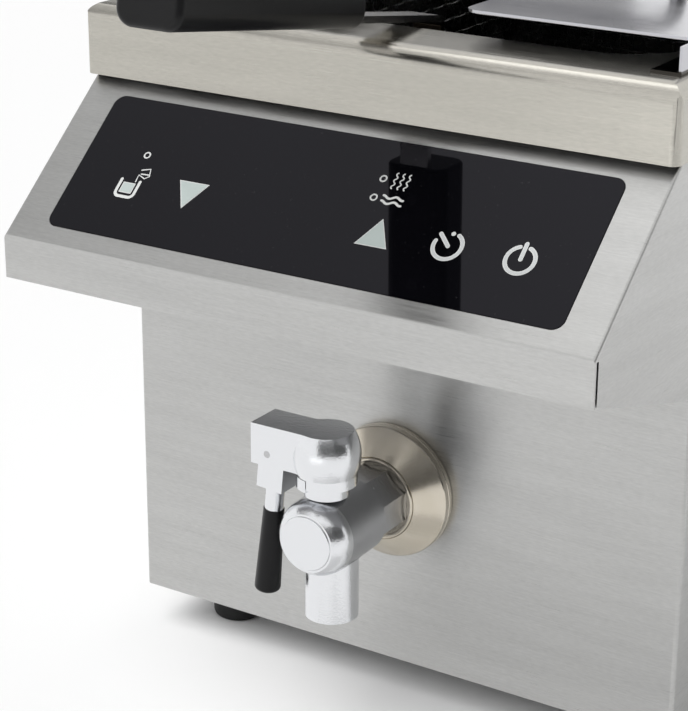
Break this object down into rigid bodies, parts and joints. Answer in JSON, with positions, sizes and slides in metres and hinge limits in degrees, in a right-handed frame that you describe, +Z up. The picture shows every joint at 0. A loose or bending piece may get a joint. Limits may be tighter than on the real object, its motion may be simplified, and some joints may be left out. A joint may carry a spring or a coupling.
{
  "type": "countertop induction deep fryer",
  "caption": "Countertop induction deep fryer with a sloping touch console, a lift-off lid, a mesh basket on a long handle and a drain tap with a folding lever.",
  "frame": {"origin": "on the counter, under the middle of the whole part between the tip of the basket's grip and the end of the cable gland", "axes": "+X to the right seen from the front, +Y from the front to the rear, +Z up"},
  "size_m": [0.2924, 0.5786, 0.3751],
  "materials": {
    "brushed_steel": "brushed along the sheet",
    "plain_steel": "satin",
    "screw_steel": "plain",
    "tap_chrome": "polished plate",
    "valve_brass": "machined",
    "seat_white": "plain",
    "black_grip": "satin moulding",
    "black_rubber": "matt",
    "black_glass": "printed behind, polished in front",
    "black_plastic": "moulded",
    "circuit_board": "varnished",
    "lamp_plastic": "clear moulding",
    "white_plastic": "moulded",
    "mica": "pressed sheet",
    "copper": "enamelled wire",
    "ferrite": "sintered",
    "heat_sink_alloy": "extruded",
    "sensor_metal": "pressed"
  },
  "bodies": {
    "chassis": {"casing_wrap": "brushed_steel", "rear_panel": "brushed_steel", "console_fascia": "brushed_steel", "console_underside": "brushed_steel", "top_deck": "brushed_steel", "base_tray": "plain_steel", "tank": "plain_steel", "coil_bracket": "plain_steel", "drain_pipe": "plain_steel", "foot_screws": "screw_steel", "casing_screws": "screw_steel", "tap_flange": "tap_chrome", "tap_body": "tap_chrome", "tap_cap": "tap_chrome", "stop_collar": "tap_chrome", "wall_nut": "valve_brass", "ball_seat": "seat_white", "foot_front_left": "black_rubber", "foot_front_right": "black_rubber", "foot_rear_left": "black_rubber", "foot_rear_right": "black_rubber", "control_glass": "black_glass", "control_carrier": "black_plastic", "cable_gland": "black_plastic", "fan_frame": "black_plastic", "board_chokes": "black_plastic", "control_board": "circuit_board", "power_board": "circuit_board", "display_module": "lamp_plastic", "indicator_lamps": "lamp_plastic", "board_standoffs": "white_plastic", "terminal_block": "white_plastic", "coil_former": "white_plastic", "mica_sheet": "mica", "coil_winding": "copper", "ferrite_bars": "ferrite", "heat_sink": "heat_sink_alloy", "temperature_probe": "sensor_metal", "safety_thermostat": "sensor_metal"},
    "lid": {"lid_sheet": "brushed_steel", "lid_handle": "plain_steel", "lid_screws": "screw_steel"},
    "basket": {"basket_frame": "plain_steel", "basket_net": "plain_steel", "handle_bracket": "plain_steel", "basket_grip": "black_grip", "grip_rivets": "screw_steel"},
    "tap_turn_head": {"tap_head": "tap_chrome", "valve_stem": "valve_brass", "valve_ball": "valve_brass", "lever_pin": "screw_steel"},
    "tap_lever": {"lever_tongue": "tap_chrome", "lever_ferrule": "tap_chrome", "lever_grip": "black_grip"},
    "fan_wheel": {"fan_rotor": "black_plastic"}
  },
  "joints": [
    {"name": "lid_lift", "type": "slide", "parent": "chassis", "child": "lid", "axis": [0, 0, 1], "range_m": [0, 0.4]},
    {"name": "basket_lift", "type": "slide", "parent": "chassis", "child": "basket", "axis": [0, 0, 1], "range_m": [0, 0.2]},
    {"name": "tap_turn", "type": "hinge", "parent": "chassis", "child": "tap_turn_head", "pos_m": [0, -0.17044, 0.1287], "axis": [0, 0, 1], "range_deg": [0, 90]},
    {"name": "lever_fold", "type": "hinge", "parent": "tap_turn_head", "child": "tap_lever", "pos_m": [-0.0236, -0.17244, 0.144], "axis": [0, 1, 0], "range_deg": [0, 84.5]},
    {"name": "fan_spin", "type": "hinge", "parent": "chassis", "child": "fan_wheel", "pos_m": [-0.065, 0.26326, 0.0772], "axis": [0, 1, 0], "continuous": true}
  ],
  "couplings": [
    {"joint": "basket_lift", "follows": "lid_lift", "ratio": 0.5}
  ]
}
